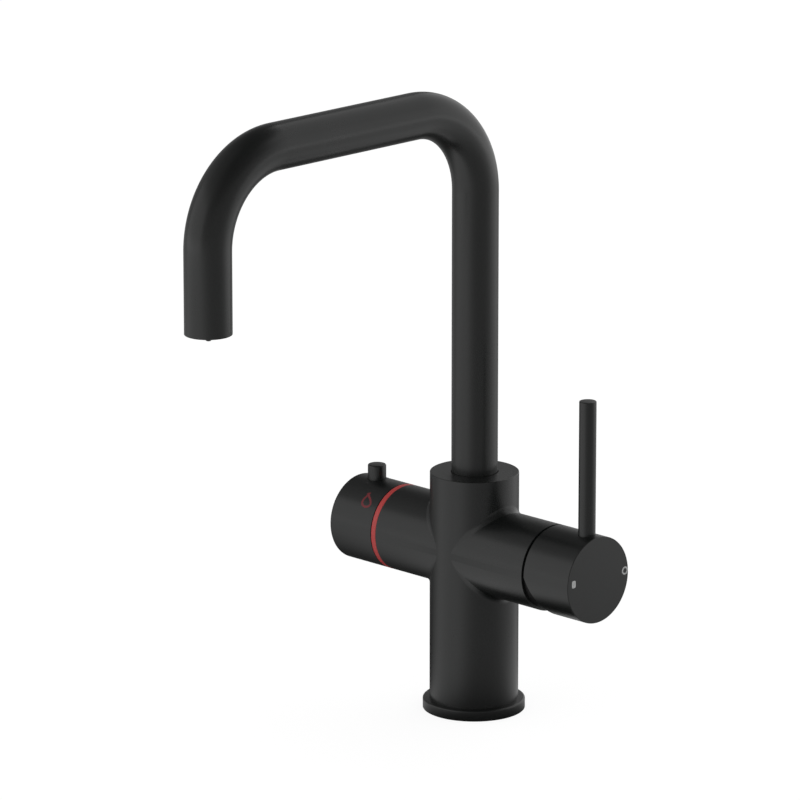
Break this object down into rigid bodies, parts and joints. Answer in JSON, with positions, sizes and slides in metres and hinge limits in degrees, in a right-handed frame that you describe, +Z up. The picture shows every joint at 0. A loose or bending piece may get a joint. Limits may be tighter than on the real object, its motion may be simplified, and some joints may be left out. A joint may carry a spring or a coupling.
{
  "type": "boiling water tap",
  "caption": "Kitchen tap with a single-lever mixer on one arm, a boiling water knob with a push lock on the other, and a swivelling square-bend spout with an inner hose.",
  "frame": {"origin": "mouth of the threaded shank socket, on the barrel's axis, in the plane of the worktop", "axes": "+Z up along the barrel; +X along the mixer arm; the spout points along -Y at rest"},
  "size_m": [0.185, 0.2459, 0.3612],
  "materials": {
    "satin_black": "satin black coating",
    "dark_nozzle": "satin black coating",
    "signal_red": "smooth moulded",
    "dark_plastic": "fine matt moulded",
    "white_plastic": "moulded",
    "clear_hose": "translucent silicone",
    "seal_rubber": "matt",
    "brass": "machined",
    "screw_steel": "machined",
    "disc_ceramic": "lapped"
  },
  "bodies": {
    "tap_body": {"body_casting": "satin_black", "base_flange": "satin_black", "base_seal": "seal_rubber", "hose_block": "brass", "hose_block_ring": "seal_rubber", "spout_bushes": "white_plastic", "spout_keeper_screw": "screw_steel", "boiling_nipple": "brass", "cartridge_port_rings": "seal_rubber", "cartridge_base": "white_plastic", "fixed_disc": "disc_ceramic", "cartridge_housing": "white_plastic", "cartridge_nut": "brass", "domed_cover": "dark_plastic", "valve_seat_seal": "seal_rubber", "valve_fixed_disc": "disc_ceramic", "valve_washer": "seal_rubber", "valve_body": "brass", "stop_sleeve": "screw_steel", "red_ring": "signal_red"},
    "spout": {"spout_tube": "satin_black", "spout_stem": "brass", "stem_rings": "seal_rubber", "hose_plug": "white_plastic", "boiling_hose": "clear_hose", "outlet_collar": "brass", "aerator_seal": "seal_rubber", "aerator_cup": "dark_plastic", "boiling_nozzle": "dark_nozzle"},
    "mixer_rotor": {"cartridge_rotor": "white_plastic", "stem_pin": "screw_steel"},
    "disc_slider": {"disc_carrier": "white_plastic", "sliding_disc": "disc_ceramic"},
    "mixer_handle": {"lever_stem": "brass", "mixer_cap": "satin_black", "lever_rod": "satin_black", "cap_screw": "screw_steel"},
    "boiling_knob": {"knob_shell": "satin_black", "knob_insert": "white_plastic", "valve_spindle": "brass", "spindle_ring": "seal_rubber", "valve_turning_disc": "disc_ceramic", "knob_screw": "screw_steel", "button_spring": "screw_steel"},
    "child_lock": {"lock_button": "satin_black", "button_clip": "screw_steel"}
  },
  "joints": [
    {"name": "spout_swivel", "type": "hinge", "parent": "tap_body", "child": "spout", "pos_m": [0, 0, 0.138], "axis": [0, 0, 1], "range_deg": [-180, 180]},
    {"name": "mixer_turn", "type": "hinge", "parent": "tap_body", "child": "mixer_rotor", "pos_m": [0.0614, 0, 0.0941], "axis": [1, 0, 0], "range_deg": [-50, 50]},
    {"name": "mixer_tilt", "type": "hinge", "parent": "mixer_rotor", "child": "mixer_handle", "pos_m": [0.0614, 0, 0.0941], "axis": [0, 1, 0], "range_deg": [0, 25]},
    {"name": "disc_slide", "type": "slide", "parent": "mixer_rotor", "child": "disc_slider", "axis": [0, 0, 1], "range_m": [0, 0.00524]},
    {"name": "boiling_turn", "type": "hinge", "parent": "tap_body", "child": "boiling_knob", "pos_m": [-0.077, 0, 0.0941], "axis": [1, 0, 0], "range_deg": [0, 90]},
    {"name": "lock_press", "type": "slide", "parent": "boiling_knob", "child": "child_lock", "axis": [0, 0, -1], "range_m": [0, 0.003], "stiffness_N_per_m": 700, "springref_m": -0.002, "deforming": ["button_spring"]}
  ],
  "couplings": [
    {"joint": "disc_slide", "follows": "mixer_tilt", "m_per_rad": 0.012}
  ]
}
